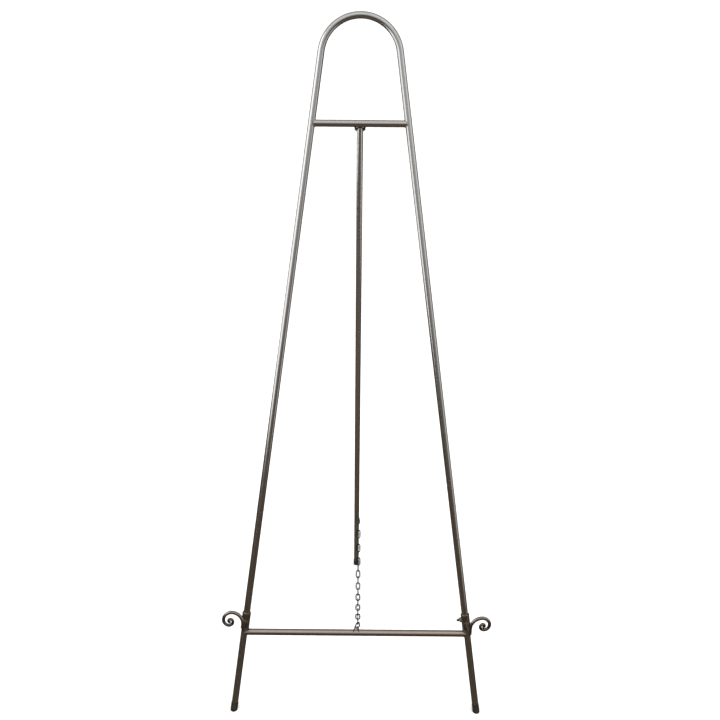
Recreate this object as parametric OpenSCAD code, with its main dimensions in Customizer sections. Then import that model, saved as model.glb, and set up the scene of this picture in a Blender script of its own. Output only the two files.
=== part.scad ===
// Display easel: an arch-topped A-frame of round tube, a hinged rear leg,
// a chain that limits the opening, and two scroll hooks on sliding collars.
// Millimetres. +Z up, the easel faces -Y, +X is to the right seen from the front.
// The origin is on the floor, at the middle of the footprint box.

/* [Front frame] */
// Outside diameter of the front frame tube
tube_d = 15.9; // [12:0.1:20]
// Wall of every tube
tube_wall = 1.2; // [0.8:0.1:2]
// Lean of the front frame from the vertical, degrees
lean = 13.4; // [8:0.1:18]
// Half the distance between the front legs at the floor
foot_half = 299.2; // [260:0.1:340]
// Splay of each leg in the frame's plane, degrees
splay = 7.66; // [6:0.01:9]
// Centreline radius of the arch
arch_r = 88.5; // [70:0.5:110]
// Outside diameter of the crossbars, a little under the legs' so their coped ends seat
bar_d = 15.6; // [11.5:0.1:19.8]
// Height of the lower crossbar, measured up the frame
low_bar_u = 205; // [150:1:300]
// Height of the top crossbar, measured up the frame
top_bar_u = 1416; // [1300:1:1450]

/* [Rear leg] */
// Outside diameter of the rear leg tube
rear_d = 14.3; // [10:0.1:16]
// Angle of the open rear leg from the vertical, degrees
rear_angle = 12; // [8:0.1:16]
// Hinge pin below the top crossbar's axis, along the frame
hinge_drop = 11.5; // [11:0.5:16]
// Hinge pin behind the top crossbar's axis
hinge_back = 12; // [11:0.5:16]
// Hinge pin diameter
pin_d = 5; // [4:0.5:6]
// Thickness of each hinge ear
ear_t = 2.5; // [2:0.5:4]

/* [Hooks and collars] */
// Outside diameter of the sliding collars
collar_d = 20.6; // [19.5:0.1:24]
// Length of the sliding collars
collar_len = 41; // [38:1:60]
// Diameter of the scroll rod
rod_d = 8; // [6:0.1:9]
// Arm, from the collar's surface to the middle of the upturned stem
arm_len = 46.5; // [30:0.5:60]
// Height of the arm's weld above the collar's lower end
arm_up = 21; // [12:1:30]
// Toe-out of the left arm, degrees
toe_left = 0.5; // [0:0.5:10]
// Toe-out of the right arm, degrees
toe_right = 5.5; // [0:0.5:10]
// Upward pitch of the left arm, degrees
pitch_left = 14; // [0:0.5:16]
// Upward pitch of the right arm, degrees
pitch_right = 5; // [0:0.5:16]
// Straight stem between the front bend and the scroll
stem_len = 11.5; // [5:0.5:40]
// First radius of the scroll
scroll_r = 27.2; // [22:0.1:34]
// Ratio of each quarter turn of the scroll to the one before
scroll_ratio = 0.703; // [0.66:0.001:0.74]

/* [Chain] */
// Diameter of the chain wire
wire_d = 3.2; // [2.5:0.1:3.2]
// Pitch of the chain
pitch = 27.3; // [27.2:0.05:27.8]
// Distance between the two long sides of a link, centre to centre
link_w = 9.7; // [8.5:0.1:11]
// Distance between the two long sides of the last ring, centre to centre
ring_w = 12.5; // [10:0.5:16]
// Length of the last ring between its bearing points
ring_pitch = 33; // [30:0.5:38]
// Height of the rear chain eye, measured up the rear leg from the floor
rear_eye_up = 213; // [205:1:216]
// Sideways place of the chain
chain_x = 5; // [0:0.5:6]

/* [Hidden] */
$fn = 96;
r = tube_d / 2;
ri = r - tube_wall;
rr = rear_d / 2;
rri = rr - tube_wall;
br = min(bar_d / 2, r - 0.1);
bri = br - tube_wall;
cs = cos(splay);
ts = tan(splay);
// the arch is tangent to both legs
arch_u = (foot_half * cs - arch_r) / sin(splay);
leg_end = (arch_u + arch_r * sin(splay)) / cs;   // tangent point, along the leg
cap_wall = 1.15;
cap_r = r + cap_wall;
sole = 2.4;                  // least rubber between a tube's end and the floor
foot_s = (sole + r * sqrt(1 - pow(cs * cos(lean), 2))) / (cs * cos(lean));  // tube end, along the leg
cap_h = 16;                  // how far a cap covers its tube
rcap_r = rr + cap_wall;
rear_s = (sole + rr * sin(rear_angle)) / cos(rear_angle);
// hinge pin in the row frame before the shift to the origin
hinge_y = hinge_back * cos(lean) + (top_bar_u - hinge_drop) * sin(lean);
hinge_z = -hinge_back * sin(lean) + (top_bar_u - hinge_drop) * cos(lean);
rear_y = hinge_y + hinge_z * tan(rear_angle);    // where the rear leg meets the floor
rear_len = hinge_z / cos(rear_angle);
// middle of the footprint
y_min = -cap_r / cos(lean);
y_max = rear_y + rcap_r / cos(rear_angle);
y0 = -(y_min + y_max) / 2;

// collars rest just above the lower crossbar
col_r = collar_d / 2;
col_bore = r + 0.08;
col_s = (low_bar_u + r + 0.3) / cs + col_r * ts;
nut_af = 10;
nut_h = 4.5;
screw_r = 3;
screw_gap = 0.05;
screw_up = 28;               // screw above the collar's lower end

// chain
wr = wire_d / 2;
gap = 0.2;
over = wr + gap / 2;         // wire centre beyond a pitch point
eye_r = 4;
eye_wire = 1.4;
eye_off = 3.2;               // eye centre off the tube's surface
eye_play = 0.85;
eye_dir = 50;                // direction of the front eye above the horizontal
n_links = 17;
ring_x = 3.3;                // sideways place of the front eye
// front eye and the first pitch point
fe = [low_bar_u * sin(lean) + (br + eye_off) * cos(eye_dir), low_bar_u * cos(lean) + (br + eye_off) * sin(eye_dir)];
pb = fe + eye_play * [cos(eye_dir), sin(eye_dir)];
re = [rear_y - rear_eye_up * sin(rear_angle) - (rr + eye_off) * cos(rear_angle), rear_eye_up * cos(rear_angle) - (rr + eye_off) * sin(rear_angle)];
pa = re + eye_play * [-cos(rear_angle), -sin(rear_angle)];
// lengths in the plane of the chain: slanted end links are seen shortened
len_a = sqrt(pow(pitch + over, 2) - pow(chain_x, 2));
len_r = sqrt(pow(ring_pitch + over, 2) - pow(chain_x - ring_x, 2));
lens = [for (k = [0:n_links + 1]) k == 0 ? len_a : k == n_links + 1 ? len_r : pitch];
mid = (n_links + 1) / 2;
// running sums of the steps of a chain whose links turn by an equal angle d
function steps(d, off, k) = [for (i = [0:k]) lens[i] * [-cos(off + (i - mid) * d), sin(off + (i - mid) * d)]];
function total(v, i = 0) = i == len(v) ? [0, 0] : v[i] + total(v, i + 1);
chord = norm(pb - pa);
function turn(lo, hi, n) = let (m = (lo + hi) / 2) n == 0 ? m
    : norm(total(steps(m, 0, n_links + 1))) > chord ? turn(m, hi, n - 1) : turn(lo, m, n - 1);
dturn = turn(0.01, 9, 40);
raw = total(steps(dturn, 0, n_links + 1));
tilt = atan2((pb - pa)[1], -(pb - pa)[0]) - atan2(raw[1], -raw[0]);
function ang(k) = tilt + (k - mid) * dturn;
pts = [for (k = [0:n_links + 2]) k == 0 ? pa : pa + total(steps(dturn, tilt, k - 1))];

steel_hi = [0.66, 0.64, 0.61];
steel_lo = [0.30, 0.26, 0.22];
iron = [0.26, 0.24, 0.22];
rubber = [0.12, 0.11, 0.11];
chain_c = [0.42, 0.39, 0.33];

// --- frames of reference -------------------------------------------------
// front frame: x across, y behind the frame's plane, z up the frame
module frame_space() translate([0, y0, 0]) rotate([-lean, 0, 0]) children();
// a leg: z up the leg from the floor; side -1 left, 1 right
module leg_space(side) frame_space() translate([side * foot_half, 0, 0]) rotate([0, -side * splay, 0]) children();
// rear leg: origin at the pin, z up the leg
module rear_space() translate([0, y0 + hinge_y, hinge_z]) rotate([rear_angle, 0, 0]) children();

module ring_section(ro, rin) difference() { circle(ro); circle(rin); }
module tube(ro, rin, len) linear_extrude(len) ring_section(ro, rin);

// --- front frame -----------------------------------------------------------
module leg_tube(side) leg_space(side) translate([0, 0, foot_s]) tube(r, ri, leg_end - foot_s - 0.02);

module arch() frame_space() translate([0, 0, arch_u]) rotate([90, 0, 0]) rotate([0, 0, splay])
    rotate_extrude(angle = 180 - 2 * splay) translate([arch_r, 0]) ring_section(r, ri);

// a crossbar, its ends coped round the legs
module crossbar(u) difference() {
    frame_space() translate([-(foot_half - u * ts), 0, u]) rotate([0, 90, 0]) tube(br, bri, 2 * (foot_half - u * ts));
    for (side = [-1, 1]) leg_space(side) translate([0, 0, u - 60]) cylinder(r = r, h = 160);
}

// --- feet ----------------------------------------------------------------
module floor_cut() translate([-600, -600, -40]) cube([1200, 1200, 40]);
// a cap is cut level, so that it stands flat on the floor
module foot_cap(side) difference() {
    leg_space(side) difference() {
        translate([0, 0, -8]) cylinder(r = cap_r, h = foot_s + cap_h + 8);
        translate([0, 0, foot_s]) cylinder(r = r, h = cap_h + 10);
    }
    floor_cut();
}
module rear_cap() difference() {
    rear_space() translate([0, 0, -rear_len]) difference() {
        translate([0, 0, -8]) cylinder(r = rcap_r, h = rear_s + cap_h + 8);
        translate([0, 0, rear_s - 0.02]) cylinder(r = rr + 0.02, h = cap_h + 10);
    }
    floor_cut();
}

// --- hinge ---------------------------------------------------------------
ear_in = rr + 0.4;
ear_nose = pin_d / 2 + 2.4;
// one ear: a plate with a round nose on the pin and a sloping weld foot on the crossbar
module hinge_ear(side) frame_space() difference() {
    union() {
        translate([side > 0 ? ear_in : -ear_in - ear_t, hinge_back, top_bar_u - hinge_drop])
            rotate([0, 90, 0]) cylinder(r = ear_nose, h = ear_t);
        translate([side > 0 ? ear_in : -ear_in - ear_t, 0, top_bar_u])
            rotate([-atan2(hinge_back, -hinge_drop), 0, 0])
                translate([0, -ear_nose + 0.3, 0]) cube([ear_t, 2 * ear_nose - 0.6, sqrt(hinge_drop * hinge_drop + hinge_back * hinge_back)]);
        // sloping foot, a triangle across the bar
        translate([0, 9, 0]) rotate([90, 0, 0]) linear_extrude(8)
            polygon([[side * (ear_in + 0.4), top_bar_u - br - 5.7], [side * (ear_in + ear_t - 0.4), top_bar_u - br - 5.7],
                [side * (ear_in + ear_t + 3), top_bar_u - br - 0.5], [side * (ear_in + ear_t + 3), top_bar_u - br + 3],
                [side * (ear_in + 0.4), top_bar_u - br + 3]]);
    }
    translate([-40, 0, top_bar_u]) rotate([0, 90, 0]) cylinder(r = br, h = 80);
    translate([-30, hinge_back, top_bar_u - hinge_drop]) rotate([0, 90, 0]) cylinder(d = pin_d + 0.04, h = 60);
}
pin_half = ear_in + ear_t;
module pin() rear_space() {
    translate([-pin_half, 0, 0]) rotate([0, 90, 0]) cylinder(d = pin_d, h = 2 * pin_half);
    for (side = [0, 1]) mirror([side, 0, 0]) translate([pin_half, 0, 0]) rotate([0, 90, 0]) rotate_extrude()
        intersection() { translate([-2.6, 0]) circle(r = 5); square([4.4, 6]); translate([0, -4]) square([4.2, 6.3]); }
}

// --- rear leg ------------------------------------------------------------
module rear_tube() rear_space() difference() {
    translate([0, 0, -rear_len + rear_s]) tube(rr, rri, rear_len - rear_s + 4.2);
    translate([-30, 0, 0]) rotate([0, 90, 0]) cylinder(r = pin_d / 2 + 0.06, h = 60);
}

// --- chain eyes: a wire ring, cut where it is welded to the tube -----------
module wire_ring() rotate([0, 90, 0]) rotate_extrude() translate([eye_r, 0]) circle(eye_wire);
module eye_front() difference() {
    translate([ring_x, y0 + fe[0], fe[1]]) wire_ring();
    frame_space() translate([-30, 0, low_bar_u]) rotate([0, 90, 0]) cylinder(r = br, h = 60);
}
module eye_rear() difference() {
    translate([0, y0 + re[0], re[1]]) wire_ring();
    rear_space() translate([0, 0, -rear_len]) cylinder(r = rr, h = 400);
}

// --- collars, nuts and screws ----------------------------------------------
// turn: direction of the screw about the leg; 0 points across the frame to +X, 90 points back
module collar_space(side) leg_space(side) translate([0, 0, col_s]) children();
module screw_axis(side, turn) collar_space(side) rotate([0, 0, turn]) translate([0, 0, screw_up]) rotate([0, 90, 0]) children();
module collar(side, turn) difference() {
    collar_space(side) tube(col_r, col_bore, collar_len);
    screw_axis(side, turn) cylinder(r = screw_r + 0.05, h = 30);
}
module nut(side, turn) difference() {
    screw_axis(side, turn) difference() {
        translate([0, 0, col_r - 2]) rotate([0, 0, 30]) cylinder(d = nut_af / cos(30), h = nut_h + 2, $fn = 6);
        cylinder(r = screw_r + 0.05, h = 30);
    }
    collar_space(side) translate([0, 0, -10]) cylinder(r = col_r, h = collar_len + 20);
}
module thumb_screw(side, turn) screw_axis(side, turn) {
    translate([0, 0, r + screw_gap]) cylinder(r = screw_r, h = col_r - r + nut_h + 1.2 - screw_gap);
    translate([0, 0, col_r + nut_h + 0.6]) cylinder(r = screw_r + 0.5, h = 3.2);
    translate([0, 0, col_r + nut_h + 3.8]) sphere(r = screw_r + 0.5);
}

// --- hook: arm, front bend, stem and scroll of round rod ---------------------
bend_r = 7;
// quarter turns of the scroll; each starts where the last ended
radii = [for (i = [0:5]) scroll_r * pow(scroll_ratio, i)];
dirs = [[1, 0], [0, -1], [-1, 0], [0, 1], [1, 0], [0, -1]];       // from each arc's start to its centre
outs = [[0, 1], [1, 0], [0, -1], [-1, 0], [0, 1], [1, 0]];        // from each arc's centre to its end
function arc_start(i) = i == 0 ? [0, 0] : arc_start(i - 1) + radii[i - 1] * (dirs[i - 1] + outs[i - 1]);
module rod(len) cylinder(d = rod_d, h = len);
// built for the right side, scroll towards +X, arm towards -Y
module hook_shape() {
    // arm, buried in the collar and trimmed later
    translate([0, col_r, 0]) rotate([90, 0, 0]) rod(col_r + arm_len - bend_r);
    // front bend
    translate([0, -(arm_len - bend_r), bend_r]) rotate([90, 0, 90]) rotate([0, 0, 180])
        rotate_extrude(angle = 90) translate([bend_r, 0]) circle(d = rod_d);
    translate([0, -arm_len, bend_r]) {
        rod(stem_len);
        translate([0, 0, stem_len]) rotate([90, 0, 0]) {
            for (i = [0:5]) let (c = arc_start(i) + radii[i] * dirs[i]) translate([c[0], c[1], 0])
                rotate([0, 0, 90 - 90 * i]) rotate_extrude(angle = 90) translate([radii[i], 0]) circle(d = rod_d);
            let (e = arc_start(5) + radii[5] * (dirs[5] + outs[5])) translate([e[0], e[1], 0]) sphere(d = rod_d);
        }
    }
}
weld_u = (col_s + arm_up) * cs;
module hook(side, pitch, toe) difference() {
    translate([side * (foot_half - weld_u * ts), y0 + weld_u * sin(lean) - col_r / cos(lean), weld_u * cos(lean)])
        mirror([side < 0 ? 1 : 0, 0, 0]) rotate([0, 0, toe]) rotate([-pitch, 0, 0]) hook_shape();
    collar_space(side) translate([0, 0, -40]) cylinder(r = col_r, h = collar_len + 80);
}

// --- chain -------------------------------------------------------------------
// half torus in the XZ plane, open towards +Z, and its two straight sides
module link_body(len, w) {
    translate([0, 0, w / 2 - over]) rotate([90, 0, 0]) rotate([0, 0, 180]) rotate_extrude(angle = 180) translate([w / 2, 0]) circle(wr);
    translate([0, 0, len + over - w / 2]) rotate([90, 0, 0]) rotate_extrude(angle = 180) translate([w / 2, 0]) circle(wr);
    for (s = [-1, 1]) translate([s * w / 2, 0, w / 2 - over]) cylinder(r = wr, h = len + 2 * over - w);
}
// place number k of the chain: 1 is hooked in the rear eye; flat links face front, the others stand on edge
module place(k) translate([chain_x, y0 + pts[k - 1][0], pts[k - 1][1]]) rotate([90 - ang(k - 1), 0, 0])
    rotate([0, 0, k % 2 == 1 ? 0 : 90]) children();
module plain_link(k) place(k) link_body(pitch, link_w);
// first link: slants sideways from the rear eye to the chain
module first_link() translate([0, y0 + pa[0], pa[1]]) rotate([90 - ang(0), 0, 0])
    rotate([0, asin(chain_x / (pitch + over)), 0]) translate([0, 0, over]) link_body(pitch, link_w);
// last ring: longer and wider than the links, twisted and slanted a little
module end_ring() translate([ring_x, y0 + pb[0], pb[1]]) rotate([90 - ang(n_links + 1), 0, 0])
    rotate([0, -asin((chain_x - ring_x) / (ring_pitch + over)), 0]) rotate([0, 0, 20])
        translate([0, 0, -(ring_pitch + over)]) link_body(ring_pitch, ring_w);

module left_leg_tube() color(steel_lo) leg_tube(-1);
module right_leg_tube() color(steel_lo) leg_tube(1);
module arch_tube() color(steel_hi) arch();
module top_crossbar() color(steel_hi) crossbar(top_bar_u);
module lower_crossbar() color(steel_lo) crossbar(low_bar_u);
module left_foot_cap() color(rubber) foot_cap(-1);
module right_foot_cap() color(rubber) foot_cap(1);
module left_hinge_ear() color(iron) hinge_ear(-1);
module right_hinge_ear() color(iron) hinge_ear(1);
module hinge_pin() color(steel_hi) pin();
module chain_eye_front() color(iron) eye_front();
module rear_leg_tube() color(steel_lo) rear_tube();
module rear_foot_cap() color(rubber) rear_cap();
module chain_eye_rear() color(iron) eye_rear();
module left_collar() color(iron) collar(-1, 90);
module right_collar() color(iron) collar(1, 180);
module left_hook() color(iron) hook(-1, pitch_left, toe_left);
module right_hook() color(iron) hook(1, pitch_right, toe_right);
module left_nut() color(iron) nut(-1, 90);
module right_nut() color(iron) nut(1, 180);
module left_thumb_screw() color(steel_hi) thumb_screw(-1, 90);
module right_thumb_screw() color(steel_hi) thumb_screw(1, 180);
module chain_piece(k) color(chain_c) { if (k == 1) first_link(); else if (k == n_links + 2) end_ring(); else plain_link(k); }

left_leg_tube();
right_leg_tube();
arch_tube();
top_crossbar();
lower_crossbar();
left_foot_cap();
right_foot_cap();
left_hinge_ear();
right_hinge_ear();
hinge_pin();
chain_eye_front();
rear_leg_tube();
rear_foot_cap();
chain_eye_rear();
left_collar();
right_collar();
left_hook();
right_hook();
left_nut();
right_nut();
left_thumb_screw();
right_thumb_screw();
chain_piece(1);  // chain_link_01
chain_piece(2);  // chain_link_02
chain_piece(3);  // chain_link_03
chain_piece(4);  // chain_link_04
chain_piece(5);  // chain_link_05
chain_piece(6);  // chain_link_06
chain_piece(7);  // chain_link_07
chain_piece(8);  // chain_link_08
chain_piece(9);  // chain_link_09
chain_piece(10);  // chain_link_10
chain_piece(11);  // chain_link_11
chain_piece(12);  // chain_link_12
chain_piece(13);  // chain_link_13
chain_piece(14);  // chain_link_14
chain_piece(15);  // chain_link_15
chain_piece(16);  // chain_link_16
chain_piece(17);  // chain_link_17
chain_piece(18);  // chain_link_18
chain_piece(19);  // chain_end_ring
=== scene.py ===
"""Looks of the display easel: plated tube frame, forged scroll hooks, link chain, rubber feet."""
import math
import bpy
from mathutils import Euler, Matrix, Vector, noise


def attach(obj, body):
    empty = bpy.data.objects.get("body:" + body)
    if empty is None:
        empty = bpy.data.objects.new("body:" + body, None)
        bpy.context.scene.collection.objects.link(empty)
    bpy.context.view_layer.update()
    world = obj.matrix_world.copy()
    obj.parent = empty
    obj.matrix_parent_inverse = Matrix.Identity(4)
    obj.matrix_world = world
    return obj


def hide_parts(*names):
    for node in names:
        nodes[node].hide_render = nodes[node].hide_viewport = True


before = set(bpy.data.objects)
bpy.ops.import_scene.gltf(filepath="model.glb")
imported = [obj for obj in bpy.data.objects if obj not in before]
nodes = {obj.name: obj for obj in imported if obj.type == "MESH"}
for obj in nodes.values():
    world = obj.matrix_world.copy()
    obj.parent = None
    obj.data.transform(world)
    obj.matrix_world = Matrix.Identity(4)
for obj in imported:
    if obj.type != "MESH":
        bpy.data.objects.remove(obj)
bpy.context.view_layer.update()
MM = 0.001

# --- the part's own numbers, millimetres, as in the CAD source ----------------------
LEAN, SPLAY, REAR = math.radians(13.4), math.radians(7.66), math.radians(12.0)
FOOT, R, BR, RR = 299.2, 7.95, 7.8, 7.15
CS, TS = math.cos(SPLAY), math.tan(SPLAY)
SL, CL = math.sin(LEAN), math.cos(LEAN)
LOW_U, TOP_U = 205.0, 1416.0
CAP_R = R + 1.15
FOOT_S = (2.4 + R * math.sqrt(1 - (CS * CL) ** 2)) / (CS * CL)
RCAP_R = RR + 1.15
REAR_S = (2.4 + RR * math.sin(REAR)) / math.cos(REAR)
HINGE_DROP, HINGE_BACK, PIN_R, EAR_T = 11.5, 12.0, 2.5, 2.5
EAR_IN = RR + 0.4
HINGE_Y = HINGE_BACK * CL + (TOP_U - HINGE_DROP) * SL
HINGE_Z = -HINGE_BACK * SL + (TOP_U - HINGE_DROP) * CL
REAR_Y = HINGE_Y + HINGE_Z * math.tan(REAR)
REAR_LEN = HINGE_Z / math.cos(REAR)
Y0 = -(-CAP_R / CL + REAR_Y + RCAP_R / math.cos(REAR)) / 2
COL_R, COL_LEN, SCREW_UP, NUT_H = 10.3, 41.0, 28.0, 4.5
COL_S = (LOW_U + R + 0.3) / CS + COL_R * TS
ARCH_R = 88.5
ARCH_U = (FOOT * CS - ARCH_R) / math.sin(SPLAY)
LEG_END = (ARCH_U + ARCH_R * math.sin(SPLAY)) / CS
ARM, ARM_UP, BEND, STEM, SCROLL, RATIO = 46.5, 21.0, 7.0, 11.5, 27.2, 0.703
TOE = {-1: math.radians(0.5), 1: math.radians(5.5)}
PITCH = {-1: math.radians(14), 1: math.radians(5)}
TURN = {-1: math.radians(90), 1: math.radians(180)}


def frame_m():
    return Matrix.Translation((0, Y0, 0)) @ Matrix.Rotation(-LEAN, 4, "X")


def leg_m(side):
    return frame_m() @ Matrix.Translation((side * FOOT, 0, 0)) @ Matrix.Rotation(-side * SPLAY, 4, "Y")


def rear_m():
    return Matrix.Translation((0, Y0 + HINGE_Y, HINGE_Z)) @ Matrix.Rotation(REAR, 4, "X")


def collar_m(side):
    return leg_m(side) @ Matrix.Translation((0, 0, COL_S))


# --- mesh helpers ---------------------------------------------------------------------
def new_mesh(name, verts, faces, mat=None, smooth=True, scale=MM):
    me = bpy.data.meshes.new(name)
    me.from_pydata([tuple(Vector(v) * scale) for v in verts], [], faces)
    me.validate()
    me.update()
    for p in me.polygons:
        p.use_smooth = smooth
    ob = bpy.data.objects.new(name, me)
    bpy.context.scene.collection.objects.link(ob)
    if mat is not None:
        me.materials.append(mat)
    return ob


def sweep(pts, radii, seg=24, closed=False, up=None, cap=True, squash=None):
    """Verts and faces of a round rod along pts, with a radius at each point."""
    n = len(pts)
    pts = [Vector(p) for p in pts]
    tang = []
    for i in range(n):
        a = pts[(i - 1) % n] if (closed or i > 0) else pts[i]
        b = pts[(i + 1) % n] if (closed or i < n - 1) else pts[i]
        tang.append((b - a).normalized())
    ref = Vector(up) if up is not None else Vector((0, 0, 1))
    if abs(ref.dot(tang[0])) > 0.95:
        ref = Vector((1, 0, 0))
    u = (ref - tang[0] * ref.dot(tang[0])).normalized()
    verts, faces = [], []
    for i in range(n):
        if i > 0:
            u = (u - tang[i] * u.dot(tang[i])).normalized()
        w = tang[i].cross(u)
        for k in range(seg):
            a = 2 * math.pi * k / seg
            q = 1.0 if squash is None else squash[i]
            verts.append(pts[i] + radii[i] * (math.cos(a) * u + math.sin(a) * w * q))
    m = n if closed else n - 1
    for i in range(m):
        j = (i + 1) % n
        for k in range(seg):
            l = (k + 1) % seg
            faces.append((i * seg + k, i * seg + l, j * seg + l, j * seg + k))
    if cap and not closed:
        faces.append(tuple(reversed(range(seg))))
        faces.append(tuple((n - 1) * seg + k for k in range(seg)))
    return verts, faces


def lathe(profile, mat4, seg=64, closed=False):
    """Profile [(radius, z)] turned about the local Z of mat4. Ends with radius 0 close the solid."""
    verts, faces, rings = [], [], []
    for (rad, z) in profile:
        if rad < 1e-6:
            rings.append([len(verts)])
            verts.append(mat4 @ Vector((0, 0, z)))
        else:
            ring = []
            for k in range(seg):
                a = 2 * math.pi * k / seg
                ring.append(len(verts))
                verts.append(mat4 @ Vector((rad * math.cos(a), rad * math.sin(a), z)))
            rings.append(ring)
    pairs = list(zip(rings[:-1], rings[1:]))
    if closed:
        pairs.append((rings[-1], rings[0]))
    for a, b in pairs:
        for k in range(seg):
            l = (k + 1) % seg
            if len(a) == 1:
                faces.append((a[0], b[l], b[k]))
            elif len(b) == 1:
                faces.append((a[k], a[l], b[0]))
            else:
                faces.append((a[k], a[l], b[l], b[k]))
    return verts, faces


# --- materials ---------------------------------------------------------------------------
def node(nt, kind, **inputs):
    n = nt.nodes.new(kind)
    for k, v in inputs.items():
        if k.startswith("_"):
            setattr(n, k[1:], v)
        else:
            n.inputs[k.replace("__", " ")].default_value = v
    return n


def ramp(nt, stops, interp="LINEAR"):
    n = nt.nodes.new("ShaderNodeValToRGB")
    cr = n.color_ramp
    cr.interpolation = interp
    while len(cr.elements) > 1:
        cr.elements.remove(cr.elements[-1])
    for i, (p, c) in enumerate(stops):
        e = cr.elements[0] if i == 0 else cr.elements.new(p)
        e.position = p
        e.color = (c[0], c[1], c[2], 1) if not isinstance(c, float) else (c, c, c, 1)
    return n


def metal(name, bright, dark, rough, z_lo, z_hi, axis=None, brush=0.05, patina=0.22, mottled=0.3):
    """Plated steel, with painted shade: bright above, darker and browner towards the feet where the lower tubes mirror
    the dark floor; fine lengthwise polishing marks.
    """
    m = bpy.data.materials.new(name)
    m.use_nodes = True
    nt = m.node_tree
    nt.nodes.clear()
    L = nt.links.new
    out = node(nt, "ShaderNodeOutputMaterial")
    b = node(nt, "ShaderNodeBsdfPrincipled")
    L(b.outputs[0], out.inputs[0])
    b.inputs["Metallic"].default_value = 1.0
    tc = node(nt, "ShaderNodeTexCoord")
    sep = node(nt, "ShaderNodeSeparateXYZ")
    L(tc.outputs["Object"], sep.inputs[0])
    # painted shade: height gradient with a cloudy edge, darker and browner towards the feet where the lower tubes
    # mirror the dark floor
    cloud = node(nt, "ShaderNodeTexNoise", Scale=9.0, Detail=4.0, Roughness=0.6)
    L(tc.outputs["Object"], cloud.inputs["Vector"])
    add = node(nt, "ShaderNodeMath", _operation="MULTIPLY_ADD")
    add.inputs[1].default_value = 0.28
    L(cloud.outputs["Fac"], add.inputs[0])
    L(sep.outputs["Z"], add.inputs[2])
    mr = node(nt, "ShaderNodeMapRange", _interpolation_type="SMOOTHSTEP")
    mr.inputs["From Min"].default_value = z_lo + 0.14
    mr.inputs["From Max"].default_value = z_hi + 0.14
    L(add.outputs[0], mr.inputs["Value"])
    floor_shade_mix = node(nt, "ShaderNodeMix", _data_type="RGBA")
    floor_shade_mix.inputs[6].default_value = (*dark, 1)
    floor_shade_mix.inputs[7].default_value = (*bright, 1)
    L(mr.outputs["Result"], floor_shade_mix.inputs[0])
    # small stains and rubbed spots
    spot = node(nt, "ShaderNodeTexNoise", Scale=140.0, Detail=6.0, Roughness=0.65)
    L(tc.outputs["Object"], spot.inputs["Vector"])
    sr = ramp(nt, [(0.36, 0.0), (0.62, 1.0)])
    L(spot.outputs["Fac"], sr.inputs[0])
    stain = node(nt, "ShaderNodeMix", _data_type="RGBA", _blend_type="MULTIPLY")
    stain.inputs[7].default_value = (1 - patina, 1 - patina * 1.05, 1 - patina * 1.12, 1)
    sub = node(nt, "ShaderNodeMath", _operation="MULTIPLY")
    sub.inputs[1].default_value = mottled
    inv = node(nt, "ShaderNodeMath", _operation="SUBTRACT")
    inv.inputs[0].default_value = 1.0
    L(sr.outputs["Color"], inv.inputs[1])
    L(inv.outputs[0], sub.inputs[0])
    L(sub.outputs[0], stain.inputs[0])
    L(floor_shade_mix.outputs[2], stain.inputs[6])
    L(stain.outputs[2], b.inputs["Base Color"])
    # polishing marks along the tube
    mp = node(nt, "ShaderNodeMapping", _vector_type="TEXTURE")
    if axis is not None:
        mp.inputs["Location"].default_value = tuple(axis.to_translation() * MM)
        mp.inputs["Rotation"].default_value = axis.to_euler("XYZ")
    L(tc.outputs["Object"], mp.inputs["Vector"])
    st = node(nt, "ShaderNodeVectorMath", _operation="MULTIPLY")
    st.inputs[1].default_value = (1800, 1800, 22)
    L(mp.outputs[0], st.inputs[0])
    fine = node(nt, "ShaderNodeTexNoise", Scale=1.0, Detail=3.0, Roughness=0.55)
    L(st.outputs[0], fine.inputs["Vector"])
    rr_ = node(nt, "ShaderNodeMapRange")
    rr_.inputs["To Min"].default_value = rough - 0.05
    rr_.inputs["To Max"].default_value = rough + 0.07
    L(fine.outputs["Fac"], rr_.inputs["Value"])
    mix = node(nt, "ShaderNodeMath", _operation="MULTIPLY_ADD")
    mix.inputs[1].default_value = 0.10
    L(inv.outputs[0], mix.inputs[0])
    L(rr_.outputs["Result"], mix.inputs[2])
    L(mix.outputs[0], b.inputs["Roughness"])
    bump = node(nt, "ShaderNodeBump", Strength=brush, Distance=0.00008)
    L(fine.outputs["Fac"], bump.inputs["Height"])
    bump2 = node(nt, "ShaderNodeBump", Strength=0.15, Distance=0.00025)
    L(cloud.outputs["Fac"], bump2.inputs["Height"])
    L(bump.outputs[0], bump2.inputs["Normal"])
    L(bump2.outputs[0], b.inputs["Normal"])
    return m


def rubber(name):
    m = bpy.data.materials.new(name)
    m.use_nodes = True
    nt = m.node_tree
    nt.nodes.clear()
    L = nt.links.new
    out = node(nt, "ShaderNodeOutputMaterial")
    b = node(nt, "ShaderNodeBsdfPrincipled")
    L(b.outputs[0], out.inputs[0])
    tc = node(nt, "ShaderNodeTexCoord")
    n1 = node(nt, "ShaderNodeTexNoise", Scale=900.0, Detail=3.0)
    n2 = node(nt, "ShaderNodeTexNoise", Scale=120.0, Detail=4.0)
    L(tc.outputs["Object"], n1.inputs["Vector"])
    L(tc.outputs["Object"], n2.inputs["Vector"])
    cr = ramp(nt, [(0.35, (0.013, 0.0095, 0.007)), (0.7, (0.030, 0.022, 0.016))])
    L(n2.outputs["Fac"], cr.inputs[0])
    L(cr.outputs[0], b.inputs["Base Color"])
    mr = node(nt, "ShaderNodeMapRange")
    mr.inputs["To Min"].default_value = 0.42
    mr.inputs["To Max"].default_value = 0.68
    L(n2.outputs["Fac"], mr.inputs["Value"])
    L(mr.outputs["Result"], b.inputs["Roughness"])
    bp = node(nt, "ShaderNodeBump", Strength=0.3, Distance=0.0002)
    L(n1.outputs["Fac"], bp.inputs["Height"])
    L(bp.outputs[0], b.inputs["Normal"])
    b.inputs["Specular IOR Level"].default_value = 0.3
    return m


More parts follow.
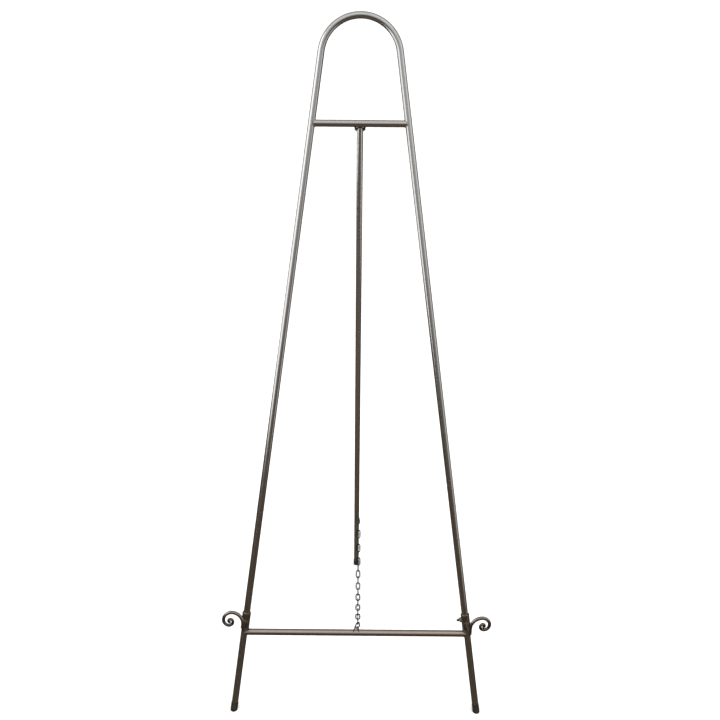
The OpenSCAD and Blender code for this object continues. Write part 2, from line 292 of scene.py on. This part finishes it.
def eye_painted_shade(base, name, c, near, far, low):
    """Forged metal with painted shade in the eye of the scroll: the base colour darkens towards the centre of the curl.
    """
    m = base.copy()
    m.name = name
    nt = m.node_tree
    b = next(n for n in nt.nodes if n.bl_idname == "ShaderNodeBsdfPrincipled")
    tc = next(n for n in nt.nodes if n.bl_idname == "ShaderNodeTexCoord")
    colour = b.inputs["Base Color"].links[0].from_socket
    dist = node(nt, "ShaderNodeVectorMath", _operation="DISTANCE")
    dist.inputs[1].default_value = c
    nt.links.new(tc.outputs["Object"], dist.inputs[0])
    mr = node(nt, "ShaderNodeMapRange", _interpolation_type="SMOOTHSTEP")
    mr.inputs["From Min"].default_value = near
    mr.inputs["From Max"].default_value = far
    mr.inputs["To Min"].default_value = low
    mr.inputs["To Max"].default_value = 1.0
    nt.links.new(dist.outputs["Value"], mr.inputs["Value"])
    mul = node(nt, "ShaderNodeVectorMath", _operation="SCALE")
    nt.links.new(colour, mul.inputs[0])
    nt.links.new(mr.outputs["Result"], mul.inputs["Scale"])
    nt.links.new(mul.outputs[0], b.inputs["Base Color"])
    return m


# the second colour of each metal() below is painted shade: the darker, browner foot end of its height gradient
SILVER, SILVER_FLOOR_SHADE = (0.66, 0.655, 0.65), (0.57, 0.53, 0.49)
Z0, Z1 = 0.30, 1.05
M_LEG = {s: metal("plated_tube_%s" % n, SILVER, SILVER_FLOOR_SHADE, 0.15, Z0, Z1, leg_m(s)) for s, n in ((-1, "left"), (1, "right"))}
M_ARCH = metal("plated_tube_arch", SILVER, SILVER_FLOOR_SHADE, 0.15, Z0, Z1, frame_m())
M_BAR = metal("plated_tube_bar", (0.62, 0.575, 0.555), (0.51, 0.43, 0.38), 0.15, Z0, Z1, frame_m() @ Matrix.Rotation(math.pi / 2, 4, "Y"))
# painted light: the rear tube gets a brighter copy of the plated-tube colours than the front tubes
M_REAR_LIT = metal("plated_tube_rear", (0.90, 0.895, 0.89), (0.68, 0.625, 0.56), 0.15, Z0, Z1, rear_m())
M_HOOK = metal("forged_hook_metal", (0.385, 0.33, 0.29), (0.335, 0.275, 0.23), 0.12, -0.3, 1.4, None, 0.06, 0.3, 0.5)
M_COLLAR = metal("collar_metal", (0.46, 0.42, 0.34), (0.24, 0.20, 0.14), 0.28, -0.2, 1.4, None, 0.08, 0.35, 0.6)
M_FAST = metal("screw_metal", (0.20, 0.18, 0.16), (0.14, 0.12, 0.105), 0.24, -0.3, 1.4, None, 0.08, 0.35, 0.6)
M_CHAIN = metal("chain_wire_metal", (0.125, 0.117, 0.096), (0.11, 0.10, 0.082), 0.22, -0.2, 0.7, None, 0.08, 0.35, 0.6)
# painted shade: near-black colours for the hinge ears, which sit in shade under the top crossbar
M_EAR_SHADE = metal("hinge_ear_shade_metal", (0.085, 0.078, 0.072), (0.07, 0.06, 0.05), 0.34, -0.3, 1.6, None, 0.5, 0.5, 1.0)
M_RUBBER = rubber("foot_cap_rubber")


def set_mat(name, mat):
    ob = nodes[name]
    ob.data.materials.clear()
    ob.data.materials.append(mat)
    for p in ob.data.polygons:
        p.material_index = 0


for side, nm in ((-1, "left"), (1, "right")):
    set_mat(nm + "_leg_tube", M_LEG[side])
    set_mat(nm + "_collar", M_COLLAR)
    set_mat(nm + "_hook", M_HOOK)
    set_mat(nm + "_nut", M_COLLAR)
    set_mat(nm + "_thumb_screw", M_FAST)
    set_mat(nm + "_foot_cap", M_RUBBER)
    set_mat(nm + "_hinge_ear", M_EAR_SHADE)
set_mat("arch_tube", M_ARCH)
set_mat("top_crossbar", M_BAR)
set_mat("lower_crossbar", M_BAR)
set_mat("rear_leg_tube", M_REAR_LIT)
set_mat("rear_foot_cap", M_RUBBER)
set_mat("hinge_pin", M_FAST)
set_mat("chain_eye_front", M_CHAIN)
set_mat("chain_eye_rear", M_CHAIN)
for k in range(1, 19):
    set_mat("chain_link_%02d" % k, M_CHAIN)
set_mat("chain_end_ring", M_CHAIN)

# --- detailed pieces -----------------------------------------------------------------
def wob(p, f, seed=0.0):
    """Smooth, repeatable noise from -1 to 1."""
    return noise.noise(Vector((p[0] * f + seed, p[1] * f - 2.3 * seed, p[2] * f + 0.7 * seed)))


def finish_piece(name, vf, mat, body, slot, *replaced):
    ob = new_mesh(name, vf[0], vf[1], mat)
    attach(ob, body)
    if replaced:
        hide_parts(*replaced)
    return ob


def hook_m(side):
    wu = (COL_S + ARM_UP) * CS
    m = Matrix.Translation((side * (FOOT - wu * TS), Y0 + wu * SL - COL_R / CL, wu * CL))
    if side < 0:
        m = m @ Matrix.Scale(-1, 4, (1, 0, 0))
    return m @ Matrix.Rotation(TOE[side], 4, "Z") @ Matrix.Rotation(-PITCH[side], 4, "X")


def hook_line():
    """Centreline of arm, bend, stem and scroll, with the radius of the drawn-out rod at each point."""
    pts = []
    y = 1.2
    while y > -(ARM - BEND):
        pts.append((0, y, 0, 4.0))
        y -= 1.5
    for i in range(0, 13):
        a = math.pi / 2 * i / 12
        pts.append((0, -(ARM - BEND) - BEND * math.sin(a), BEND - BEND * math.cos(a), 4.0))
    n = 7
    for i in range(1, n):
        pts.append((0, -ARM, BEND + STEM * i / n, 4.0 + 0.35 * i / n))
    cx, cz = 0.0, 0.0
    dirs = [(1, 0), (0, -1), (-1, 0), (0, 1)]
    outs = [(0, 1), (1, 0), (0, -1), (-1, 0)]
    taper = [4.35, 4.3, 4.0, 3.75, 3.55, 3.4, 3.25, 3.05]
    sx, sz = 0.0, 0.0
    for q in range(7):
        rad = SCROLL * RATIO ** q if q < 6 else 3.35
        dx, dz = dirs[q % 4]
        cx, cz = sx + rad * dx, sz + rad * dz
        m = max(6, int(rad * 1.1))
        start = math.pi - q * math.pi / 2
        for i in range(m):
            t = i / m
            a = start - t * math.pi / 2
            pts.append((cx + rad * math.cos(a), -ARM, BEND + STEM + cz + rad * math.sin(a), taper[q] * (1 - t) + taper[q + 1] * t))
        ox, oz = outs[q % 4]
        sx, sz = cx + rad * ox, cz + rad * oz
    pts.append((sx, -ARM, BEND + STEM + sz, taper[-1]))
    # even out the curvature between the quarter turns
    k0 = next(i for i, p in enumerate(pts) if p[1] <= -ARM + 1e-6)
    for _ in range(6):
        q = list(pts)
        for i in range(k0 + 4, len(pts) - 1):
            q[i] = tuple(0.5 * pts[i][c] + 0.25 * (pts[i - 1][c] + pts[i + 1][c]) for c in range(4))
        pts = q
    # rounded tip
    d = (Vector(pts[-1][:3]) - Vector(pts[-2][:3])).normalized()
    e, r0 = Vector(pts[-1][:3]), pts[-1][3]
    for a in (20, 40, 58, 72, 82):
        a = math.radians(a)
        v = e + d * (r0 * 0.9 * math.sin(a))
        pts.append((v.x, v.y, v.z, r0 * math.cos(a)))
    return pts


def make_hook(side, nm):
    line, m = hook_line(), hook_m(side)
    pts = [m @ Vector(p[:3]) for p in line]
    radii = [p[3] * (1 + 0.012 * wob(p, 0.21, side * 3.1)) for p in line]
    v, f = sweep(pts, radii, 28, up=(0, 0, 1))
    # light hammer marks of the forged scroll
    v = [p + (p - pts[i // 28]).normalized() * 0.05 * wob(p, 0.35, 5.0) if radii[i // 28] > 1.5 else p for i, p in enumerate(v)]
    # painted shade: the hook's base colour darkens to 36% within 4 to 16 mm of the scroll's eye
    eye = (m @ Vector(line[-6][:3])) * MM
    mat = eye_painted_shade(M_HOOK, "hook_metal_eye_shade_" + nm, eye, 0.004, 0.016, 0.36)
    return finish_piece(nm + "_scroll_hook", (v, f), mat, nm + "_holder", "hook_metal", nm + "_hook")


def meet(p0, d, centre_m, rad, t0, t1):
    """Where the line p0 + t*d, outside at t0 and inside at t1, meets the cylinder of that radius about centre_m's Z."""
    inv = centre_m.inverted()
    for _ in range(40):
        t = (t0 + t1) / 2
        q = inv @ (p0 + d * t)
        if math.hypot(q.x, q.y) > rad:
            t0 = t
        else:
            t1 = t
    return p0 + d * ((t0 + t1) / 2)


def bead_loop(name, curve, size, mat, body, slot, seed=0.0, ripple=0.16, count=14):
    """A weld bead on a closed curve: size(i/n) is its radius, with the ripple of a hand weld."""
    n = len(curve)
    radii = []
    for i in range(n):
        a = i / n
        s_ = size(a)
        radii.append(s_ * (1 + ripple * 0.5 * math.cos(2 * math.pi * a * count) + ripple * wob(curve[i], 0.5, seed)))
    return finish_piece(name, sweep(curve, radii, 12, closed=True, up=(0.3, 0.2, 1)), mat, body, slot)


def crossbar_weld(name, side, u, size, seed):
    fm_, lm, curve, n = frame_m(), leg_m(side), [], 72
    for i in range(n):
        a = 2 * math.pi * i / n
        p0 = fm_ @ Vector((0, (BR + 0.15) * math.cos(a), u + (BR + 0.15) * math.sin(a)))
        d = (fm_ @ Vector((side, 0, 0)) - fm_ @ Vector((0, 0, 0))).normalized()
        curve.append(meet(p0, d, lm, R + 0.15, 0, FOOT - u * TS))
    return bead_loop(name, curve, size, M_WELD, "front_frame", "frame_metal", seed)


def arm_weld(side, nm):
    m, cm, curve, n = hook_m(side), collar_m(side), [], 48
    o = m @ Vector((0, 0, 0))
    d = (m @ Vector((0, 1, 0)) - o).normalized()
    for i in range(n):
        a = 2 * math.pi * i / n
        p0 = m @ Vector((4.1 * math.cos(a), -12, 4.1 * math.sin(a)))
        curve.append(meet(p0, d, cm, COL_R + 0.1, 0, 14))
    return bead_loop(nm + "_arm_weld", curve, lambda a: 1.45, M_WELD, nm + "_holder", "hook_metal", 3.0 + side, 0.22, 9)


def nut_weld(side, nm):
    cm = collar_m(side)
    ax = cm @ Matrix.Rotation(TURN[side], 4, "Z") @ Matrix.Translation((0, 0, SCREW_UP)) @ Matrix.Rotation(math.pi / 2, 4, "Y")
    o = ax @ Vector((0, 0, 0))
    d = (o - ax @ Vector((0, 0, 1))).normalized()
    curve, n = [], 60
    for i in range(n):
        a = 2 * math.pi * i / n
        hexr = 5.0 / math.cos((a + math.pi / 6) % (math.pi / 3) - math.pi / 6)
        p0 = ax @ Vector((hexr * math.cos(a + math.pi / 6), hexr * math.sin(a + math.pi / 6), 16))
        curve.append(meet(p0, d, cm, COL_R + 0.05, 0, 14))
    return bead_loop(nm + "_nut_weld", curve, lambda a: 0.8, M_WELD_DARK, nm + "_holder", "hook_metal", 6.0 + side, 0.25, 11)


def make_screw(side, nm):
    """Thumb screw: rounded tip, thread, neck and a knurled round head."""
    ax = collar_m(side) @ Matrix.Rotation(TURN[side], 4, "Z") @ Matrix.Translation((0, 0, SCREW_UP)) @ Matrix.Rotation(math.pi / 2, 4, "Y")
    z0 = R + 0.06
    zh = COL_R + NUT_H + 0.6
    prof = [(0, z0), (1.7, z0), (2.35, z0 + 0.5)]
    z = z0 + 0.8
    while z < zh - 0.9:
        prof += [(2.5, z), (2.97, z + 0.28), (2.97, z + 0.42), (2.5, z + 0.7)]
        z += 0.9
    prof += [(2.45, zh - 0.2), (2.5, zh), (3.2, zh + 0.05), (3.5, zh + 0.4)]
    prof += [(3.5, zh + 2.9), (3.42, zh + 3.3)]
    for a in (15, 35, 55, 75):
        a = math.radians(a)
        prof.append((3.42 * math.cos(a), zh + 3.3 + 3.2 * math.sin(a)))
    prof.append((0, zh + 6.5))
    seg = 72
    v, f = lathe(prof, ax, seg)
    # knurl: every third column of the head sinks a little
    inv = ax.inverted()
    out = []
    for p in v:
        q = inv @ p
        rad = math.hypot(q.x, q.y)
        if zh + 0.3 < q.z < zh + 3.4 and rad > 3.3:
            a = math.atan2(q.y, q.x)
            k = 1 - 0.045 * (0.5 + 0.5 * math.cos(a * 24))
            q = Vector((q.x * k, q.y * k, q.z))
            p = ax @ q
        out.append(p)
    return finish_piece(nm + "_knurled_screw", (out, f), M_FAST, nm + "_screw", "fastener_metal", nm + "_thumb_screw")


def collar_lips(side, nm):
    """Rolled edges at both ends of the collar."""
    for tag, zc in (("top", COL_LEN - 0.75), ("bottom", 1.2)):
        cm = collar_m(side)
        prof = []
        for i in range(14):
            a = 2 * math.pi * i / 14
            prof.append((COL_R - 0.15 + 0.62 * math.cos(a), zc + 0.72 * math.sin(a)))
        v, f = lathe(prof, cm, 72, closed=True)
        finish_piece(nm + "_collar_" + tag + "_lip", (v, f), M_COLLAR, nm + "_holder", "hook_metal")


def foot_tip(name, m, cap_r, tube_r, s_top, body, node):
    """Rubber foot: moulded lip and grooves, cut level on the floor with a soft edge."""
    a0 = m @ Vector((0, 0, 0))
    ax = (m @ Vector((0, 0, 1)) - a0).normalized()
    seg = 64
    verts, faces, rings = [], [], []

    def at_height(rad, h):
        ring = []
        for k in range(seg):
            t = 2 * math.pi * k / seg
            p = m @ Vector((rad * math.cos(t), rad * math.sin(t), 0))
            p = p + ax * ((h - p.z) / ax.z)
            ring.append(len(verts))
            verts.append(p)
        rings.append(ring)

    def at_s(rad, s_):
        ring = []
        for k in range(seg):
            t = 2 * math.pi * k / seg
            ring.append(len(verts))
            verts.append(m @ Vector((rad * math.cos(t), rad * math.sin(t), s_)))
        rings.append(ring)

    verts.append(Vector((a0.x, a0.y, 0)) if abs(a0.z) < 1e-6 else a0 - ax * (a0.z / ax.z))
    rings.append([0])
    for rad, h in ((cap_r * 0.5, 0), (cap_r - 2.2, 0), (cap_r - 1.35, 0.16), (cap_r - 0.66, 0.6), (cap_r - 0.2, 1.35), (cap_r, 2.3)):
        at_height(rad, h)
    low = 6.6
    at_s(cap_r, low)
    for zc in (s_top - 8.6, s_top - 6.4, s_top - 4.2):
        for dz, dr in ((-0.55, 0.0), (-0.3, -0.16), (0.0, -0.24), (0.3, -0.16), (0.55, 0.0)):
            at_s(cap_r + dr, zc + dz)
    at_s(cap_r, s_top - 2.4)
    for i in range(7):
        t = math.pi * i / 6
        at_s(cap_r - 0.35 + 0.47 * math.sin(t), s_top - 0.9 - 0.9 * math.cos(t))
    at_s(tube_r + 0.06, s_top - 0.35)
    at_s(tube_r + 0.06, s_top - 2.5)
    at_s(tube_r + 0.06, s_top - 16.05)
    verts.append(m @ Vector((0, 0, s_top - 16.05)))
    rings.append([len(verts) - 1])
    for r1, r2 in zip(rings[:-1], rings[1:]):
        for k in range(seg):
            l = (k + 1) % seg
            if len(r1) == 1:
                faces.append((r1[0], r2[l], r2[k]))
            elif len(r2) == 1:
                faces.append((r1[k], r1[l], r2[0]))
            else:
                faces.append((r1[k], r1[l], r2[l], r2[k]))
    return finish_piece(name, (verts, faces), M_RUBBER, body, "foot_cap", node)


# chain: the same pitch line as the CAD source
WR, GAP, CH_PITCH, LINK_W, RING_W, RING_PITCH, EYE_OFF, PLAY, N_LINKS = 1.6, 0.2, 27.3, 9.7, 12.5, 33.0, 3.2, 0.85, 17
OVER = WR + GAP / 2
CHAIN_X, RING_X, EYE_UP = 5.0, 3.3, 213.0
ED = math.radians(50)
FE = (LOW_U * SL + (BR + EYE_OFF) * math.cos(ED), LOW_U * CL + (BR + EYE_OFF) * math.sin(ED))
PB = (FE[0] + PLAY * math.cos(ED), FE[1] + PLAY * math.sin(ED))
RE = (REAR_Y - EYE_UP * math.sin(REAR) - (RR + EYE_OFF) * math.cos(REAR), EYE_UP * math.cos(REAR) - (RR + EYE_OFF) * math.sin(REAR))
PA = (RE[0] - PLAY * math.cos(REAR), RE[1] - PLAY * math.sin(REAR))
LENS = [math.sqrt((CH_PITCH + OVER) ** 2 - CHAIN_X ** 2)] + [CH_PITCH] * N_LINKS + [math.sqrt((RING_PITCH + OVER) ** 2 - (CHAIN_X - RING_X) ** 2)]
MID = (N_LINKS + 1) / 2


def chain_steps(d, off):
    return [(-l * math.cos(math.radians(off + (i - MID) * d)), l * math.sin(math.radians(off + (i - MID) * d))) for i, l in enumerate(LENS)]


CHORD = math.hypot(PB[0] - PA[0], PB[1] - PA[1])
lo_, hi_ = 0.01, 9.0
for _ in range(60):
    md = (lo_ + hi_) / 2
    st_ = chain_steps(md, 0)
    if math.hypot(sum(q[0] for q in st_), sum(q[1] for q in st_)) > CHORD:
        lo_ = md
    else:
        hi_ = md
DT = lo_
st_ = chain_steps(DT, 0)
TILT = math.degrees(math.atan2(PB[1] - PA[1], -(PB[0] - PA[0])) - math.atan2(sum(q[1] for q in st_), -sum(q[0] for q in st_)))
CPTS = [PA]
for q in chain_steps(DT, TILT):
    CPTS.append((CPTS[-1][0] + q[0], CPTS[-1][1] + q[1]))


def chain_ang(i):
    return math.radians(TILT + (i - MID) * DT)


def link_m(k):
    """Matrix of chain piece k, its length along +Z from the pitch point towards the rear eye."""
    i = k - 1
    if k == 1:
        return (Matrix.Translation((0, Y0 + PA[0], PA[1])) @ Matrix.Rotation(math.pi / 2 - chain_ang(0), 4, "X")
                @ Matrix.Rotation(math.asin(CHAIN_X / (CH_PITCH + OVER)), 4, "Y") @ Matrix.Translation((0, 0, OVER)))
    if k == N_LINKS + 2:
        return (Matrix.Translation((RING_X, Y0 + PB[0], PB[1])) @ Matrix.Rotation(math.pi / 2 - chain_ang(N_LINKS + 1), 4, "X")
                @ Matrix.Rotation(-math.asin((CHAIN_X - RING_X) / (RING_PITCH + OVER)), 4, "Y") @ Matrix.Rotation(math.radians(20), 4, "Z")
                @ Matrix.Translation((0, 0, -(RING_PITCH + OVER))))
    m = Matrix.Translation((CHAIN_X, Y0 + CPTS[i][0], CPTS[i][1])) @ Matrix.Rotation(math.pi / 2 - chain_ang(i), 4, "X")
    return m if k % 2 == 1 else m @ Matrix.Rotation(math.pi / 2, 4, "Z")


def link_loop(length, w, n_arc=14, n_side=9):
    """Centreline of a round-ended link in the XZ plane."""
    h = w / 2
    zb, zt = h - OVER, length + OVER - h
    pts = []
    for i in range(n_arc + 1):
        a = math.pi + math.pi * i / n_arc
        pts.append((h * math.cos(a), 0, zb + h * math.sin(a)))
    for i in range(1, n_side):
        pts.append((h, 0, zb + (zt - zb) * i / n_side))
    for i in range(n_arc + 1):
        a = math.pi * i / n_arc
        pts.append((h * math.cos(a), 0, zt + h * math.sin(a)))
    for i in range(1, n_side):
        pts.append((-h, 0, zt + (zb - zt) * i / n_side))
    return pts


def make_link(k):
    m = link_m(k)
    line = link_loop(CH_PITCH, LINK_W)
    mid = (CH_PITCH) / 2
    sgn = 1 if k % 4 in (1, 2) else -1
    radii = []
    for p in line:
        # sides a little fuller than the bends, and the butt weld in one side
        b = 0.22 * min(1.0, max(0.0, (CH_PITCH / 2 - 6.5 - abs(p[2] - mid)) / 2.0))
        if p[0] * sgn > LINK_W / 2 - 0.5:
            b += 0.2 * math.exp(-((p[2] - mid) / 1.5) ** 2)
        radii.append(WR + b + 0.02 * wob((p[0], p[2], k), 0.9))
    v, f = sweep([m @ Vector(p) for p in line], radii, 16, closed=True, up=tuple((m.to_3x3() @ Vector((0, 1, 0)))))
    return finish_piece("chain_wire_%02d" % k, (v, f), M_CHAIN, "chain_%02d" % k, "chain_metal", "chain_link_%02d" % k)


def make_end_ring():
    """Pear-shaped ring: narrow where the last link hangs in it, wide at the eye on the crossbar."""
    m = link_m(N_LINKS + 2)
    L_ = RING_PITCH
    r_wide, r_tip = RING_W / 2, 3.3
    zt, zw = L_ + OVER - r_wide, r_tip - OVER
    # circles joined by their outer tangents: the wide one at the eye, the narrow one at the link
    d = zt - zw
    phi = math.asin((r_wide - r_tip) / d)
    pts = []
    n = 18
    for i in range(n + 1):
        a = math.pi + phi + (math.pi - 2 * phi) * i / n
        pts.append((r_tip * math.cos(a), 0, zw + r_tip * math.sin(a)))
    x0, z0 = pts[-1][0], pts[-1][2]
    b0 = -phi
    x1, z1 = r_wide * math.cos(b0), zt + r_wide * math.sin(b0)
    for i in range(1, 9):
        t = i / 9
        pts.append((x0 + (x1 - x0) * t, 0, z0 + (z1 - z0) * t))
    for i in range(n + 1):
        a = b0 + (math.pi + 2 * phi) * i / n
        pts.append((r_wide * math.cos(a), 0, zt + r_wide * math.sin(a)))
    x0, z0 = pts[-1][0], pts[-1][2]
    x1, z1 = pts[0][0], pts[0][2]
    for i in range(1, 9):
        t = i / 9
        pts.append((x0 + (x1 - x0) * t, 0, z0 + (z1 - z0) * t))
    radii = [WR + 0.02 * wob(p, 0.8) for p in pts]
    v, f = sweep([m @ Vector(p) for p in pts], radii, 18, closed=True, up=tuple((m.to_3x3() @ Vector((0, 1, 0)))))
    return finish_piece("chain_pear_ring", (v, f), M_CHAIN, "chain_19", "chain_metal", "chain_end_ring")


M_WELD = metal("weld_bead_metal", (0.52, 0.49, 0.45), (0.30, 0.25, 0.20), 0.36, Z0, Z1, None, 0.6, 0.5, 0.9)
M_WELD_DARK = metal("weld_bead_dark", (0.36, 0.32, 0.27), (0.20, 0.17, 0.13), 0.42, -0.3, 1.5, None, 0.6, 0.5, 1.0)
for side, nm in ((-1, "left"), (1, "right")):
    make_hook(side, nm)
    arm_weld(side, nm)
    nut_weld(side, nm)
    make_screw(side, nm)
    collar_lips(side, nm)
    crossbar_weld("top_bar_weld_" + nm, side, TOP_U, lambda a: 1.05, 1.0 + side)
    crossbar_weld("lower_bar_weld_" + nm, side, LOW_U, lambda a: 0.3 + 0.8 * min(1.0, max(0.0, 0.9 - math.sin(2 * math.pi * a))), 4.0 + side)
    foot_tip(nm + "_rubber_tip", leg_m(side), R + 0.75, R, FOOT_S + 16, "front_frame", nm + "_foot_cap")
foot_tip("rear_rubber_tip", rear_m() @ Matrix.Translation((0, 0, -REAR_LEN)), RR + 0.8, RR, REAR_S + 16, "rear_leg", "rear_foot_cap")
for k in range(1, 19):
    make_link(k)
make_end_ring()


def anchor_leg(name, x_top, x_foot, mat):
    """Leg of the chain's anchor: from the eye over the top of the crossbar to its front, where it is welded."""
    fm_, pts, radii, n = frame_m(), [], [], 26
    for i in range(n + 1):
        t = i / n
        a = math.radians(52 + 72 * t)
        x = x_top + (x_foot - x_top) * math.sin(t * math.pi / 2)
        lift = BR + 1.35 + 1.2 * (1 - t) ** 2
        # the frame's own up direction: angle a runs from +Y over the top to -Y
        pts.append(fm_ @ Vector((x, lift * math.cos(a + LEAN), LOW_U + lift * math.sin(a + LEAN))))
        radii.append(1.5 - 0.15 * t)
    d = (pts[-1] - pts[-2]).normalized()
    e = pts[-1]
    for a in (25, 50, 70, 83):
        a = math.radians(a)
        pts.append(e + d * (1.3 * math.sin(a)))
        radii.append(1.35 * math.cos(a))
    return finish_piece(name, sweep(pts, radii, 14, up=(1, 0, 0)), mat, "front_frame", "frame_metal")


anchor_leg("chain_anchor_left", 0.2, -5.6, M_CHAIN)
anchor_leg("chain_anchor_right", 6.4, 7.0, M_CHAIN)

# --- floor, light, camera -------------------------------------------------------------
floor = new_mesh("floor", [(-60, -60, 0), (60, -60, 0), (60, 60, 0), (-60, 60, 0)], [(0, 1, 2, 3)], None, False, 1.0)
fm = bpy.data.materials.new("pale_floor")
fm.use_nodes = True
fb = fm.node_tree.nodes["Principled BSDF"]
fn = node(fm.node_tree, "ShaderNodeTexNoise", Scale=3.0, Detail=2.0)
fr = ramp(fm.node_tree, [(0.3, (0.90, 0.90, 0.90)), (0.7, (0.93, 0.93, 0.93))])
fm.node_tree.links.new(fn.outputs["Fac"], fr.inputs[0])
fm.node_tree.links.new(fr.outputs[0], fb.inputs["Base Color"])
fb.inputs["Roughness"].default_value = 0.9
fb.inputs["Specular IOR Level"].default_value = 0.1
floor.data.materials.append(fm)
floor.visible_glossy = False

world = bpy.data.worlds.new("studio")
bpy.context.scene.world = world
world.use_nodes = True
wt = world.node_tree
wt.nodes.clear()
WL = wt.links.new
wout = node(wt, "ShaderNodeOutputWorld")
wtc = node(wt, "ShaderNodeTexCoord")
wn = node(wt, "ShaderNodeVectorMath", _operation="NORMALIZE")
WL(wtc.outputs["Generated"], wn.inputs[0])
wsep = node(wt, "ShaderNodeSeparateXYZ")
WL(wn.outputs[0], wsep.inputs[0])
wmr = node(wt, "ShaderNodeMapRange")
wmr.inputs["From Min"].default_value = -1
wmr.inputs["From Max"].default_value = 1
WL(wsep.outputs["Z"], wmr.inputs["Value"])
# room: dark floor below, grey walls, bright ceiling
def up(deg):
    return (math.sin(math.radians(deg)) + 1) / 2


wr_ = ramp(wt, [(up(-90), (0.118, 0.098, 0.082)), (up(-58), (0.112, 0.092, 0.076)), (up(-30), (0.100, 0.080, 0.064)), (up(-15), (0.088, 0.066, 0.049)),
                (up(-5), (0.090, 0.070, 0.054)), (up(-1), (0.13, 0.12, 0.11)), (up(4), (0.16, 0.155, 0.15)), (up(8), (0.29, 0.285, 0.28)),
                (up(12), (0.41, 0.405, 0.40)), (up(18), (0.47, 0.465, 0.46)), (up(28), (0.62, 0.62, 0.62)), (up(40), (0.84, 0.84, 0.84)),
                (up(64), (0.90, 0.90, 0.90)), (up(90), (0.78, 0.78, 0.78))])
WL(wmr.outputs["Result"], wr_.inputs[0])
# the room behind the easel is dimmer than the lit side in front of it
wsy = node(wt, "ShaderNodeMapRange", _interpolation_type="SMOOTHSTEP")
wsy.inputs["From Min"].default_value = -0.15
wsy.inputs["From Max"].default_value = 0.50
wsy.inputs["To Min"].default_value = 1.0
wsy.inputs["To Max"].default_value = 0.33
WL(wsep.outputs["Y"], wsy.inputs["Value"])
wadd = node(wt, "ShaderNodeMix", _data_type="RGBA", _blend_type="MULTIPLY")
wadd.inputs[0].default_value = 1.0
WL(wr_.outputs[0], wadd.inputs[6])
WL(wsy.outputs["Result"], wadd.inputs[7])
wbg = node(wt, "ShaderNodeBackground", Strength=1.0)
WL(wadd.outputs[2], wbg.inputs[0])
wbg2 = node(wt, "ShaderNodeBackground", Strength=1.0)
wbg2.inputs[0].default_value = (0.97, 0.97, 0.97, 1)
wlp = node(wt, "ShaderNodeLightPath")
wmx = node(wt, "ShaderNodeMixShader")
WL(wlp.outputs["Is Camera Ray"], wmx.inputs[0])
WL(wbg.outputs[0], wmx.inputs[1])
WL(wbg2.outputs[0], wmx.inputs[2])
WL(wmx.outputs[0], wout.inputs[0])


def light(name, kind, energy, loc, aim, size=1.0, size_y=None, color=(1, 1, 1), glossy=True):
    ld = bpy.data.lights.new(name, kind)
    ld.energy = energy
    ld.color = color
    if kind == "AREA":
        ld.shape = "RECTANGLE"
        ld.size = size
        ld.size_y = size_y or size
    elif kind == "SUN":
        ld.angle = math.radians(size)
    ob = bpy.data.objects.new(name, ld)
    ob.location = loc
    ob.rotation_euler = (Vector(aim) - Vector(loc)).to_track_quat("-Z", "Y").to_euler()
    ob.visible_glossy = glossy
    bpy.context.scene.collection.objects.link(ob)
    return ob


def panel(name, radiance, loc, aim, w, h, color=(1, 1, 1)):
    """A large soft light that the metal mirrors, of a given brightness."""
    ob = light(name, "AREA", radiance * w * h * PANEL_K, loc, aim, w, h, color)
    ob.visible_diffuse = False
    ob.visible_camera = False
    return ob


PANEL_K = math.pi
light("floor_fill", "SUN", 2.6, (0.5, -1.0, 4.0), (0, 0, 0), 70, glossy=False)
light("softbox_left", "AREA", 30, (-2.6, -1.6, 2.2), (0, 0, 0.8), 1.2, 1.8, glossy=False)
light("softbox_top", "AREA", 18, (0.3, -0.9, 3.4), (0, 0, 0.9), 1.6, 1.2, glossy=False)
panel("panel_left", 1.12, (-1.25, -0.36, 1.6), (-0.1, -0.1, 1.6), 1.8, 1.94)
panel("panel_right", 0.45, (1.6, -0.5, 1.25), (0.1, -0.1, 1.25), 1.6, 2.5)

sc = bpy.context.scene
sc.view_settings.view_transform = "Standard"
sc.view_settings.look = "None"
sc.view_settings.exposure = 0.0

cam_d = bpy.data.cameras.new("camera")
cam = bpy.data.objects.new("camera", cam_d)
sc.collection.objects.link(cam)
sc.camera = cam
cam_d.sensor_width = 36.0
cam_d.lens = 997.0 / 720 * 36.0
cam_d.clip_start, cam_d.clip_end = 0.05, 200
cam_d.dof.use_dof = False
cam.location = (0.0, (-1932 + Y0) * MM, 1.761)
cam.rotation_euler = (Matrix.Rotation(math.radians(90 - 22.9), 4, "X") @ Matrix.Rotation(math.radians(0.496), 4, "Z")).to_euler()
cam_d.shift_x = (360 - 358.06) / 720
cam_d.shift_y = (358.6 - 360) / 720
